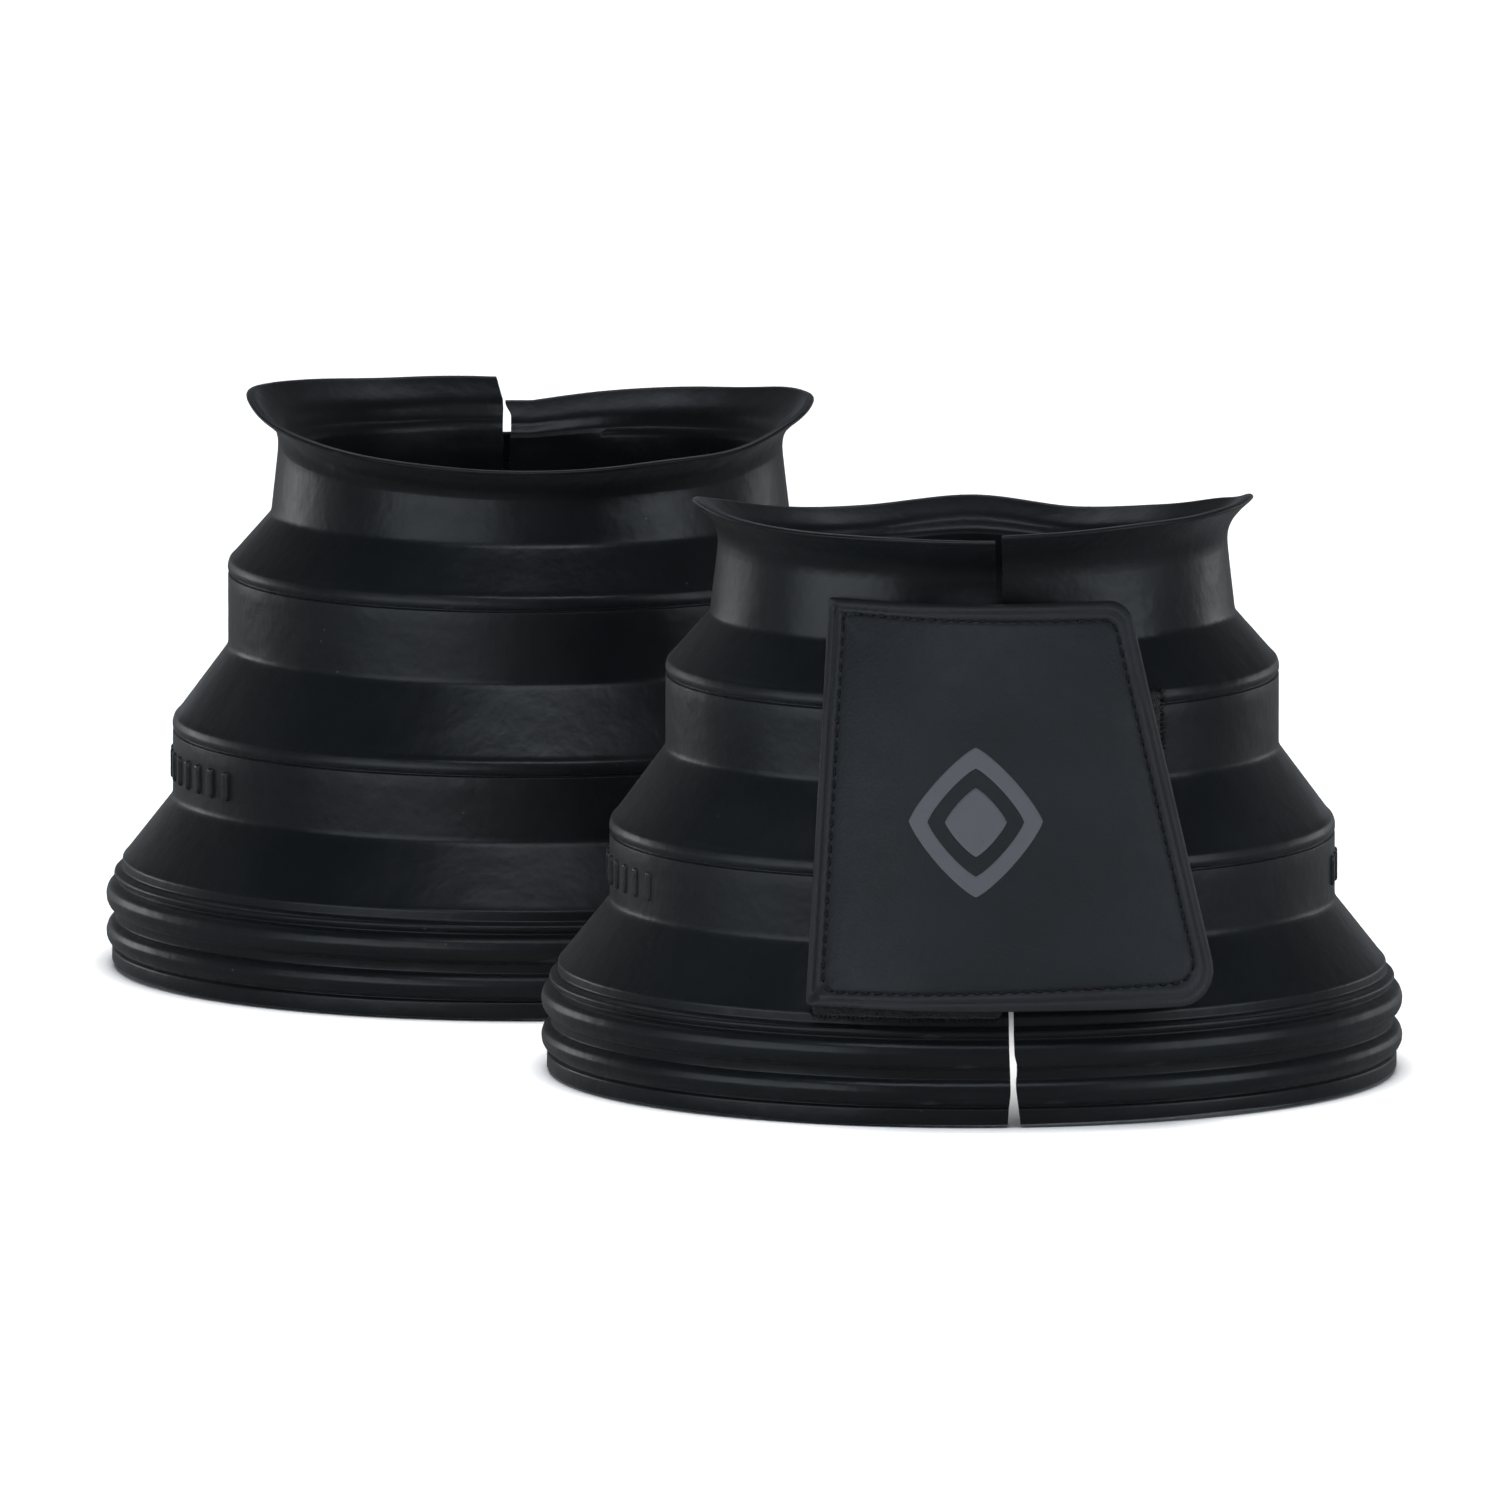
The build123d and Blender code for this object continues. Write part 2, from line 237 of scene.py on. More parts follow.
def rounded_polygon(corners, radii, counts, turn_steps=7):
    """A closed outline with rounded corners and a given number of steps on each side."""
    corners = np.asarray(corners, float)
    size = len(corners)
    arcs = []
    for k in range(size):
        back = unit(corners[k - 1] - corners[k])
        ahead = unit(corners[(k + 1) % size] - corners[k])
        half = math.acos(np.clip(back @ ahead, -1, 1)) / 2
        start = corners[k] + back * radii[k] / math.tan(half)
        end = corners[k] + ahead * radii[k] / math.tan(half)
        centre = corners[k] + unit(back + ahead) * radii[k] / math.sin(half)
        first = math.atan2(start[1] - centre[1], start[0] - centre[0])
        turn = math.atan2(end[1] - centre[1], end[0] - centre[0]) - first
        turn = (turn + math.pi) % (2 * math.pi) - math.pi
        angles = first + turn * np.linspace(0, 1, turn_steps)
        arcs.append(centre + radii[k] * np.stack([np.cos(angles), np.sin(angles)], 1))
    outline = []
    for k in range(size):
        here, after = arcs[k][-1], arcs[(k + 1) % size][0]
        outline += list(arcs[k])
        outline += [here + (after - here) * i / counts[k] for i in range(1, counts[k])]
    return np.array(outline)


def side_counts(corners, pitch):
    """How many steps of about a pitch each side of an outline takes."""
    following = [*corners[1:], corners[0]]
    return [math.ceil(math.dist(here, after) / pitch) for here, after in zip(corners, following)]


def stitch_places(outline):
    """The middle and the direction of each stitch round a closed outline."""
    line = np.concatenate([outline, outline[:1]])
    run = run_along(line)
    places = np.arange(STITCH_PITCH / 2, run[-1], STITCH_PITCH)
    behind, points, ahead = (np.stack([np.interp(places + step, run, line[:, k]) for k in range(2)], 1)
                             for step in (-0.3, 0, 0.3))
    return points, unit(ahead - behind)


# ---- places

def cone_radius(z, distance=0.0):
    """The radius of the closure's cone at a height, at a distance off its surface."""
    return CONE_R + CONE_SLOPE * (CONE_Z - z) + distance / CONE_COS


def on_cone(x, z, distance):
    """The point of the closure that is seen from the front at x and z, at a distance off its cone."""
    radius = cone_radius(z, distance)
    return np.stack([x, -np.sqrt(radius**2 - x**2), z + 0 * x], -1)


def round_axis(radius, angle, z):
    """A place by its distance from the boot's axis, its angle round it from the front, and its height."""
    return np.stack([radius * np.sin(angle), -radius * np.cos(angle), z], -1)


def split_x(z):
    """Where the middle of the split is at a height."""
    return SPLIT_X_LOW + (SPLIT_X_HIGH - SPLIT_X_LOW) * np.asarray(z) / LIP_Z


def put(side, points):
    """A drawing's points, in the row frame and in metres."""
    points = np.asarray(points, float)
    turn = SIDES[side]
    x, y, z = turn * (points[..., 0] + BOOT_X), turn * (points[..., 1] + BOOT_Y), points[..., 2]
    return np.stack([x, y, z], -1) * MM


# ---- meshes

def placed(name, data):
    """A new object in the scene."""
    made = bpy.data.objects.new(name, data)
    bpy.context.scene.collection.objects.link(made)
    return made


def keep_drawn(mesh, points):
    """Keeps where a mesh's points were drawn, in mm, in the attribute "drawn" that its materials read."""
    drawn = mesh.attributes.new("drawn", "FLOAT_VECTOR", "POINT")
    drawn.data.foreach_set("vector", points.astype(np.float32).ravel())


def piece(side, name, points, faces, materials, slot, face_materials=None):
    """A mesh object from a drawing, named after its boot and its part."""
    name = f"{side}_{name}"
    mesh = bpy.data.meshes.new(name)
    points = np.asarray(points, float)
    mesh.from_pydata(put(side, points).tolist(), [], [tuple(face) for face in faces])
    for made in materials:
        mesh.materials.append(made)
    if face_materials is not None:
        mesh.polygons.foreach_set("material_index", np.asarray(face_materials, np.int32))
    mesh.polygons.foreach_set("use_smooth", np.full(len(mesh.polygons), True))
    keep_drawn(mesh, points + np.array([0.0, 0.0, LEFT_TEXTURE_SHIFT * (side == "left")]))
    mesh.validate()
    mesh.update()
    made = placed(name, mesh)
    return made


def grid_faces(rows, columns, start=0, closed=False):
    """Quads between the rows of a grid of points; closed joins the last column to the first."""
    i, j = np.meshgrid(np.arange(rows - 1), np.arange(columns if closed else columns - 1), indexing="ij")
    following = (j + 1) % columns
    quads = np.stack([i * columns + j, i * columns + following, (i + 1) * columns + following,
                      (i + 1) * columns + j], -1)
    return (quads.reshape(-1, 4) + start).tolist()


def fan(centre, ring_start, count, turned=False):
    """Triangles from a ring to a middle point."""
    faces = [(centre, ring_start + k, ring_start + (k + 1) % count) for k in range(count)]
    return [face[::-1] for face in faces] if turned else faces


def closed_form(rows, rows_under, count):
    """The faces of a closed form: rings of points outside, rings underneath, and then its two middle points.

    They come as the outside, the bridge to the underside, the underside, and the fan at each middle."""
    start = rows * count
    middle = start + rows_under * count
    bridge = [(k, start + k, start + (k + 1) % count, (k + 1) % count) for k in range(count)]
    under = [face[::-1] for face in grid_faces(rows_under, count, start, closed=True)]
    return (grid_faces(rows, count, closed=True), bridge, under, fan(middle, start - count, count),
            fan(middle + 1, middle - count, count, turned=True))


def joined(parts):
    """One list of points and faces from several."""
    points, faces, start = [], [], 0
    for some_points, some_faces in parts:
        points.append(np.asarray(some_points, float))
        faces += [[v + start for v in face] for face in some_faces]
        start += len(some_points)
    return np.concatenate(points), faces


def tubes(lines, radius, sides=6):
    """Tubes that narrow at their ends, along lines of as many points each: lines is (tubes, points, 3)."""
    lines = np.asarray(lines, float)
    count, steps, _ = lines.shape
    way = np.gradient(lines, axis=1)
    way /= np.linalg.norm(way, axis=2, keepdims=True) + 1e-9
    helper = np.where(np.abs(way[..., 2:]) < 0.9, [[[0, 0, 1.0]]], [[[1.0, 0, 0]]])
    across = unit(np.cross(way, helper))
    up = np.cross(way, across)
    share = np.linspace(0, 1, steps)
    size = radius * np.sqrt(np.clip(1 - (2 * share - 1)**4, 0.02, 1))
    turn = np.linspace(0, 2 * math.pi, sides, endpoint=False)
    ring = (across[:, :, None] * np.cos(turn)[:, None] + up[:, :, None] * np.sin(turn)[:, None])
    points = lines[:, :, None] + ring * size[None, :, None, None]
    one = np.array(grid_faces(steps, sides, closed=True))
    starts = np.arange(count)[:, None, None] * steps * sides
    faces = (one[None] + starts).reshape(-1, 4).tolist()
    for k in range(count):
        first = k * steps * sides
        last = first + (steps - 1) * sides
        faces.append(list(range(first, first + sides))[::-1])
        faces.append(list(range(last, last + sides)))
    return points.reshape(-1, 3), faces


# ---- materials

class Finish:
    """A Principled material and short ways to add nodes to it. Its textures follow the drawn place, in mm."""

    def __init__(self, name, color, roughness, **fixed):
        self.material = bpy.data.materials.new(name)
        self.material.use_nodes = True
        self.tree = self.material.node_tree
        self.shader = self.tree.nodes["Principled BSDF"]
        self.shader.inputs["Base Color"].default_value = (*color, 1)
        self.shader.inputs["Roughness"].default_value = roughness
        for socket, value in fixed.items():
            self.shader.inputs[socket.replace("_", " ")].default_value = value
        self.place = self.node("ShaderNodeAttribute", attribute_name="drawn").outputs["Vector"]
        self.height = None

    def node(self, kind, **settings):
        """A new node with its settings."""
        made = self.tree.nodes.new(kind)
        for key, value in settings.items():
            setattr(made, key, value)
        return made

    def link(self, output, target):
        self.tree.links.new(output, target)

    def stretched(self, x, y, z):
        """The drawn place, scaled along each axis."""
        made = self.node("ShaderNodeVectorMath", operation="MULTIPLY")
        self.link(self.place, made.inputs[0])
        made.inputs[1].default_value = (x, y, z)
        return made.outputs[0]

    def noise(self, per_mm, detail=3.0, rough=0.55, where=None):
        """Soft noise of a number of waves to a millimetre."""
        made = self.node("ShaderNodeTexNoise")
        self.link(where or self.place, made.inputs["Vector"])
        made.inputs["Scale"].default_value = per_mm
        made.inputs["Detail"].default_value = detail
        made.inputs["Roughness"].default_value = rough
        return made.outputs["Fac"]

    def cells(self, per_mm, feature="F1"):
        """The distance to the nearest of scattered points."""
        made = self.node("ShaderNodeTexVoronoi", feature=feature)
        self.link(self.place, made.inputs["Vector"])
        made.inputs["Scale"].default_value = per_mm
        return made.outputs["Distance"]

    def ranged(self, value, low, high, to_low=0.0, to_high=1.0):
        """A value carried from one range to another, and held at its ends."""
        made = self.node("ShaderNodeMapRange")
        self.link(value, made.inputs["Value"])
        for socket, number in zip(("From Min", "From Max", "To Min", "To Max"), (low, high, to_low, to_high)):
            made.inputs[socket].default_value = number
        return made.outputs["Result"]

    def maths(self, operation, a, b=0.0):
        """A sum, product or sine of values, each a number or a node's output."""
        made = self.node("ShaderNodeMath", operation=operation)
        for socket, value in zip(made.inputs, (a, b)):
            if isinstance(value, (int, float)):
                socket.default_value = value
            else:
                self.link(value, socket)
        return made.outputs[0]

    def tint(self, value, low, high, share, color):
        """Mixes a colour into the base colour: none where a value is low, and a share where it is high."""
        base = self.shader.inputs["Base Color"]
        made = self.node("ShaderNodeMix", data_type="RGBA")
        self.link(self.ranged(value, low, high, 0, share), made.inputs["Factor"])
        a, b = [s for s in made.inputs if s.type == "RGBA"]
        if base.is_linked:
            self.link(base.links[0].from_socket, a)
        else:
            a.default_value = base.default_value
        b.default_value = (*color, 1)
        self.link([s for s in made.outputs if s.type == "RGBA"][0], base)

    def raise_by(self, value, millimetres):
        """Adds a bump of a height in millimetres."""
        scaled = self.maths("MULTIPLY", value, millimetres)
        self.height = scaled if self.height is None else self.maths("ADD", self.height, scaled)

    def done(self):
        """The material, with its bump joined to its shader."""
        if self.height is not None:
            bump = self.node("ShaderNodeBump")
            bump.inputs["Distance"].default_value = MM
            self.link(self.height, bump.inputs["Height"])
            self.link(bump.outputs["Normal"], self.shader.inputs["Normal"])
        return self.material


def rubber_finish():
    """Satin black moulded rubber, with mould flow lines, dull patches, dust specks, and a painted highlight
    that makes its sharp edges paler.
    """
    made = Finish("moulded_rubber", (0.0052, 0.0066, 0.0078), 0.34, Specular_IOR_Level=0.36,
                  Sheen_Weight=0.08, Sheen_Roughness=0.35)
    patches = made.noise(0.03, 4)
    smudges = made.maths("MULTIPLY", made.noise(0.35, 5, 0.65), 0.3)
    made.link(made.ranged(made.maths("ADD", patches, smudges), 0.45, 0.85, 0.28, 0.42),
              made.shader.inputs["Roughness"])
    made.tint(patches, 0.42, 0.7, 0.5, (0.0095, 0.0115, 0.0140))
    specks = made.maths("MULTIPLY", made.ranged(made.cells(0.16), 0.05, 0.02),
                        made.ranged(made.noise(0.05, 2), 0.5, 0.6))
    made.tint(specks, 0, 1, 0.6, (0.09, 0.09, 0.088))
    # Painted highlight: sharp convex edges, such as the lip's, are tinted paler as if they caught the light
    edge = made.node("ShaderNodeNewGeometry").outputs["Pointiness"]
    made.tint(edge, 0.515, 0.56, 0.45, (0.026, 0.028, 0.031))
    flow = made.noise(0.35, 2, 0.5, made.stretched(0.06, 0.06, 1.0))
    made.raise_by(flow, 0.014)
    made.raise_by(made.noise(0.1, 3, 0.55), 0.3)
    made.raise_by(made.noise(2.2, 4, 0.65), 0.018)
    return made.done()


def leather_finish(name, color, roughness, grain):
    """Matte black faux leather with a fine pebbled grain and a few creases."""
    made = Finish(name, color, roughness, Specular_IOR_Level=0.42)
    patches = made.noise(0.05, 3)
    lighter = tuple(c * 1.28 for c in color)
    made.tint(patches, 0.35, 0.7, 0.7, lighter)
    made.link(made.ranged(made.noise(0.2, 4), 0.3, 0.7, roughness - 0.06, roughness + 0.05),
              made.shader.inputs["Roughness"])
    pebbles = made.cells(1.5, "SMOOTH_F1")
    made.raise_by(made.ranged(pebbles, 0.0, 0.6, 1.0, 0.0), grain)
    made.raise_by(made.noise(3.5, 3, 0.6), grain * 0.6)
    made.raise_by(made.noise(0.09, 2), 0.2)
    return made.done()


def weave_finish(name, color, pitch):
    """A plain woven cloth of a thread pitch in millimetres."""
    made = Finish(name, color, 0.85, Sheen_Weight=0.25, Sheen_Roughness=0.5)
    separate = made.node("ShaderNodeSeparateXYZ")
    made.link(made.place, separate.inputs[0])
    turn = 2 * math.pi / pitch
    waves = [made.maths("SINE", made.maths("MULTIPLY", separate.outputs[axis], turn)) for axis in ("X", "Z")]
    woven = made.maths("MULTIPLY", *waves)
    made.raise_by(made.ranged(woven, -1, 1), 0.12)
    made.raise_by(made.noise(4, 3), 0.05)
    made.tint(woven, -0.2, 1, 0.5, tuple(c * 1.6 for c in color))
    return made.done()


def loop_finish():
    """The brushed, felted face of the loop side of a hook-and-loop fastener."""
    made = Finish("loop_fabric", (0.006, 0.006, 0.0065), 0.95, Sheen_Weight=0.08, Sheen_Roughness=0.6)
    tangle = made.noise(1.6, 6, 0.75)
    made.tint(tangle, 0.4, 0.65, 0.8, (0.015, 0.015, 0.016))
    made.raise_by(tangle, 0.5)
    made.raise_by(made.cells(2.4), 0.12)
    return made.done()


def fibre_finish():
    """Loose black fibre, a little lighter here and there."""
    made = Finish("loop_fibre", (0.006, 0.006, 0.0065), 0.65)
    made.tint(made.noise(0.8, 2), 0.5, 0.7, 0.7, (0.028, 0.028, 0.03))
    return made.done()


def hook_finish():
    """The stiff nylon of the hook side."""
    made = Finish("hook_tape", (0.012, 0.012, 0.013), 0.42)
    made.tint(made.noise(0.4, 3), 0.4, 0.7, 0.6, (0.022, 0.022, 0.024))
    made.raise_by(made.noise(2.5, 3), 0.05)
    return made.done()


def thread_finish():
    """Bonded black thread with its twist."""
    made = Finish("thread", (0.0045, 0.0045, 0.005), 0.55)
    twist = made.node("ShaderNodeTexWave", wave_type="BANDS", bands_direction="DIAGONAL")
    made.link(made.place, twist.inputs["Vector"])
    twist.inputs["Scale"].default_value = 1.4
    twist.inputs["Distortion"].default_value = 1.0
    made.raise_by(twist.outputs["Fac"], 0.06)
    made.tint(twist.outputs["Fac"], 0.5, 1, 0.5, (0.012, 0.012, 0.013))
    return made.done()


def print_finish():
    """The badge's matte grey print, a little thin in places."""
    made = Finish("badge_print", (0.112, 0.112, 0.125), 0.62, Specular_IOR_Level=0.3)
    made.tint(made.noise(0.12, 3), 0.35, 0.7, 0.6, (0.105, 0.105, 0.12))
    made.tint(made.noise(1.8, 4, 0.7), 0.62, 0.7, 0.6, (0.06, 0.06, 0.068))
    made.raise_by(made.cells(1.5, "SMOOTH_F1"), 0.03)
    return made.done()


def floor_finish():
    """A plain pale floor."""
    made = Finish("pale_floor", (FLOOR_COLOR,) * 3, 0.85, Specular_IOR_Level=0.2)
    made.tint(made.noise(0.01, 2), 0.4, 0.7, 0.4, (0.9, 0.9, 0.9))
    return made.done()


RUBBER = rubber_finish()
LEATHER = leather_finish("flap_leather", (0.0112, 0.0136, 0.0160), 0.6, 0.05)
BINDING = leather_finish("binding_leather", (0.0150, 0.0165, 0.0195), 0.55, 0.035)
LINING = weave_finish("lining_fabric", (0.014, 0.014, 0.015), 0.9)
LOOPS = loop_finish()
FIBRE = fibre_finish()
HOOKS = hook_finish()
THREAD = thread_finish()
PRINT = print_finish()


# ---- the bell

def outer_profile():
    """The outside of the bell as (radius, height), from the ground to the top of the lip."""
    bead_bands = [(BAND_R, 35.0, 48.5), (62.3, 66.0, 81.0)]
    line = [(RIM_R - 0.5, 0.0, 0), (RIM_R, 0.25, 0.3), (RIM_R, 3.6, 0.4), (RIM_R - 0.9, 4.0, 0.3)]
    line += rib_points(4.2, 9.5) + [(85.5, 9.6, 0.2), (85.5, 11.4, 0.2)] + rib_points(11.6, 17.3)
    line += [(85.0, 17.7, 0.4), (85.9, 18.5, 0.5), (85.7, 19.5, 0.5), (84.4, 19.9, 0.3), (84.1, 20.3, 0.2)]
    line += [(84.1, 22.1, 0.4), (83.4, 22.8, 0.8)]
    for radius, foot, top in bead_bands:
        line += [(radius + 0.4, foot - 0.5, 0.7), (radius, foot + 0.4, 0.8), (radius, top - 0.2, 0.15)]
        line += [(radius - 0.55, top, 0.15), (radius - 0.55, top + 0.35, 0.15)]
        line += [(radius - 0.02, top + 0.55, 0.25), (radius + 0.1, top + 1.6, 0.6)]
        line += [(radius - 0.35, top + 3.0, 0.4), (radius - 1.3, top + 3.9, 0.5)]
    line += [(53.4, 93.5, 0.9), (52.9, 98.0, 2.0), (52.1, 105.0, 3.0), (51.7, 109.6, 2.2), (52.8, 112.6, 1.6)]
    line += [(55.3, 115.4, 1.5), (57.2, 117.0, 0.6), (57.0, 117.6, 0.3), (56.5, 117.8, 0)]
    return softened(line)


def rib_points(low, high):
    """One round rib, from a little above one groove to a little below the next."""
    middle, half, depth = (low + high) / 2, (high - low) / 2, 2.0
    turns = np.radians([-78, -50, -22, 8, 38, 60, 82])
    return [(RIB_R - depth + depth * math.cos(t), middle + half * math.sin(t), 0.35) for t in turns]


def inner_profile():
    """The inside of the bell, from the ground to the top of the lip."""
    inner_r = RIM_R - WALL
    line = [(inner_r + 0.3, 0.0, 0), (inner_r, 0.4, 0.3), (inner_r - 0.2, 16.0, 2.0), (79.9, 21.0, 2.0)]
    line += [(70.1, 33.6, 2.0), (69.7, 47.0, 2.0), (68.3, 52.4, 1.5), (59.0, 64.6, 2.0), (58.3, 79.0, 2.0)]
    line += [(57.0, 83.6, 1.5), (49.4, 92.6, 2.0), (48.4, 100.0, 3.0), (48.5, 107.6, 0.5), (50.0, 109.0, 0.5)]
    line += [(50.5, 112.8, 1.8), (54.9, 117.0, 0.9), (55.6, 117.7, 0.3), (56.5, 117.8, 0)]
    return softened(line)


def bell(side):
    """The moulded rubber bell: a closed strip that runs from one face of the split round to the other."""
    outside = outer_profile()
    rows = len(outside)
    run = run_along(outside)
    inside = resampled(inner_profile(), run / run[-1])
    share = np.linspace(0, 1, COLUMNS)[:, None]
    chains = []
    for chain in (outside, inside):
        radius, height = chain[:, 0][None], chain[:, 1][None]
        gap = split_gap(height, side)
        right = np.arcsin((split_x(height) + gap[0]) / radius)
        left = 2 * math.pi + np.arcsin((split_x(height) - gap[1]) / radius)
        angle = right + (left - right) * share
        chains.append(worn_bell(side, angle, radius + 0 * angle, height + 0 * angle))
    points = np.concatenate([chain.reshape(-1, 3) for chain in chains])
    total = COLUMNS * rows
    outer_faces = grid_faces(COLUMNS, rows)
    inner_faces = [face[::-1] for face in grid_faces(COLUMNS, rows, total)]
    strip = np.arange(COLUMNS - 1) * rows
    last = strip + rows - 1
    top = [(j, j + rows, total + j + rows, total + j) for j in last]
    foot = [(j + rows, j, total + j, total + j + rows) for j in strip]
    right_end = [(i, i + 1, total + i + 1, total + i) for i in range(rows - 1)]
    left_end = [(total + i, total + i + 1, i + 1, i) for i in range(total - rows, total - 1)]
    faces = outer_faces + inner_faces + top + foot + right_end + left_end
    made = piece(side, "bell", points, faces, [RUBBER], "moulded_rubber")
    made.data.set_sharp_from_angle(angle=math.radians(SHARP_DEG))
    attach(made, f"{side}_boot")
    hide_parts(f"{side}_shell")


def split_gap(height, side):
    """How far each face of the knife-cut split is from its middle line, to the right and to the left."""
    width = SPLIT_GAP_LOW + (SPLIT_GAP_HIGH - SPLIT_GAP_LOW) * smooth(height, 0, 9)
    kink = 0.55 * np.exp(-((height - 11.7) / 2.2)**2)
    ragged = 0.16 * ripple(height / 9, SPLIT_SEED[side], (2, 5, 7, 11, 17))
    torn = TORN[side]
    right = width / 2 + kink + ragged + torn * 1.5 * np.clip((height - 113) / 4.8, 0, 1)
    return right, width / 2 - 0.6 * ragged - torn * (1.3 * smooth(height, 114, 117.5) - 0.35)


def worn_bell(side, angle, radius, height):
    """The bell's points with the lip's rise and fall, the trimmed rim and the soft rubber's unevenness."""
    seed = WEAR_SEED[side]
    rise = np.clip((height - SQUEEZE_LOW) / (LIP_Z - SQUEEZE_LOW), 0, 1)
    lip = 0.65 * rise + 0.35 * smooth(rise)
    flare = smooth(height, FLARE_LOW, LIP_Z)
    right_edge = np.exp(-(angle * radius / 12)**2)
    left_edge = np.exp(-((2 * math.pi - angle) * radius / 12)**2)
    lip_height = through(LIP_HEIGHTS[side], angle / (2 * math.pi))
    drop = LIP_Z - lip_height + 0.3 * ripple(angle, seed, (5, 7, 9, 13))
    height = height - drop * lip
    radius = radius + flare * (LIP_WIDER[side] + 0.45 * ripple(angle, seed + 1, (2, 3, 5, 8)))
    body = smooth(height, 22, 40)
    soft = (0.12 + 0.3 * body) * ripple(angle, seed + 2, (2, 3, 4, 7)) * (1 + 0.3 * np.sin(height / 14))
    radius = radius + soft
    trim = np.clip(0.45 + 0.55 * ripple(angle, seed + 3, (2, 5, 9, 16)), 0, 1) * 0.9
    height = height + trim * np.clip(1 - height / 3, 0, 1)
    radius = radius + (1.5 * right_edge - 2.0 * left_edge) * smooth(height, 97, 107)
    return round_axis(radius, angle, np.maximum(height, 0))


def band_bars(side):
    """The row of plain raised bars on each side of the lower band, moulded in one with it."""
    columns, rows = 13, 23
    across, up = np.meshgrid(np.linspace(-1, 1, columns), np.linspace(-1, 1, rows), indexing="ij")
    end = (BAR_HEIGHT - BAR_WIDTH) / BAR_HEIGHT
    past = np.clip((np.abs(up) - end) / (1 - end), 0, 1)
    wide = BAR_WIDTH / 2 * (across * np.sqrt(1 - 0.97 * past**2))
    edge = np.clip(1 - np.maximum(np.abs(across), past), 0, 1)
    radius = BAND_R - BAR_SUNK + (BAR_PROUD + BAR_SUNK) * np.sin(smooth(edge, 0, 0.42) * math.pi / 2)
    height = BAR_Z + up * BAR_HEIGHT / 2
    faces = [face[::-1] for face in grid_faces(columns, rows)]
    parts = []
    for centre, count in BAR_ROWS:
        for i in range(count):
            angle = math.radians(centre + (i - (count - 1) / 2) * BAR_STEP_DEG) + wide / BAND_R
            parts.append((round_axis(radius, angle, height).reshape(-1, 3), faces))
    made = piece(side, "band_bars", *joined(parts), [RUBBER], "moulded_rubber")
    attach(made, f"{side}_boot")


# ---- the flap

# Across the flap's edge: share of the way from the outline to the seam, height on three sides, on the left
EDGE_SECTION = [(0.26, 0.0, 0.0), (0.10, 0.10, 0.05), (0.02, 0.45, 0.20), (0.0, 1.0, 0.5), (0.0, 1.7, 0.9),
                (0.03, 2.3, 1.25), (0.11, 2.75, 1.5), (0.25, 3.0, 1.6), (0.42, 3.02, 1.55), (0.50, 2.7, 1.05),
                (0.58, 3.0, 1.5), (0.75, 3.08, 1.7), (0.90, 2.8, 1.55), (1.0, 2.05, 1.05)]
# Inside the seam: distance from it, height on three sides, on the left
PANEL_SECTION = [(0.35, 2.8, 1.7), (0.9, 3.0, 2.1), (2.0, 3.12, 2.55), (4.0, 3.25, 3.0)]


def flap_lift(x, z):
    """How far the flap's underside is off the cone: sewn down on the left, and over the tab on the right."""
    left = edge_x(*FLAP_CORNERS[:2], z)
    lift = 0.85 + 2.7 * smooth(x - left, 4, 26) + 1.5 * smooth(x, 12, 46)
    lift = lift - 2.6 * smooth(z, 80, 102.5)
    return lift + 0.8 * smooth(x, 0, 40) * smooth(-z, -46, -24)


def edge_x(top, foot, z):
    """Where a line between two corners of the front view is at a height."""
    return top[0] + (foot[0] - top[0]) * (top[1] - z) / (top[1] - foot[1])


def leather_swell():
    """Cloth simulation of the flap's cover: a flat sheet pinned at its seam swells over the foam.

    It gives the height at the sheet's points, as a grid over the seam's outline, at most SWELL_CAP."""
    size, steps, mm_per_unit = 56, 20, 100
    u, v = np.meshgrid(np.linspace(0, 1, size), np.linspace(0, 1, size), indexing="ij")
    top_left, foot_left, foot_right, top_right = np.array(SEAM_CORNERS)
    left = foot_left * (1 - v[..., None]) + top_left * v[..., None]
    right = foot_right * (1 - v[..., None]) + top_right * v[..., None]
    flat = (left * (1 - u[..., None]) + right * u[..., None]) / mm_per_unit
    mesh = bpy.data.meshes.new("swell")
    mesh.from_pydata(np.concatenate([flat, 0 * flat[..., :1]], -1).reshape(-1, 3).tolist(), [],
                     grid_faces(size, size))
    sheet = placed("swell", mesh)
    edge = (u == 0) | (u == 1) | (v == 0) | (v == 1)
    pins = sheet.vertex_groups.new(name="pins")
    pins.add(np.flatnonzero(edge.ravel()).tolist(), 1.0, "REPLACE")
    cloth = sheet.modifiers.new("Cloth", "CLOTH")
    settings = {"vertex_group_mass": "pins", "quality": 6, "use_pressure": True, "uniform_pressure_force": 4,
                "shrink_min": -0.012, "bending_stiffness": 2}
    for key, value in settings.items():
        setattr(cloth.settings, key, value)
    cloth.settings.effector_weights.gravity = 0
    for step in range(1, steps + 1):
        bpy.context.scene.frame_set(step)
    swollen = sheet.evaluated_get(bpy.context.evaluated_depsgraph_get())
    heights = np.array([vertex.co.z for vertex in swollen.data.vertices]).reshape(size, size) * mm_per_unit
    bpy.context.scene.frame_set(1)
    bpy.data.objects.remove(sheet)
    heights = heights * np.sign(heights.sum() or 1)
    heights = heights / max(np.abs(heights).max(), 1e-6)
    return SWELL_CAP * np.sign(heights) * np.abs(heights)**0.7


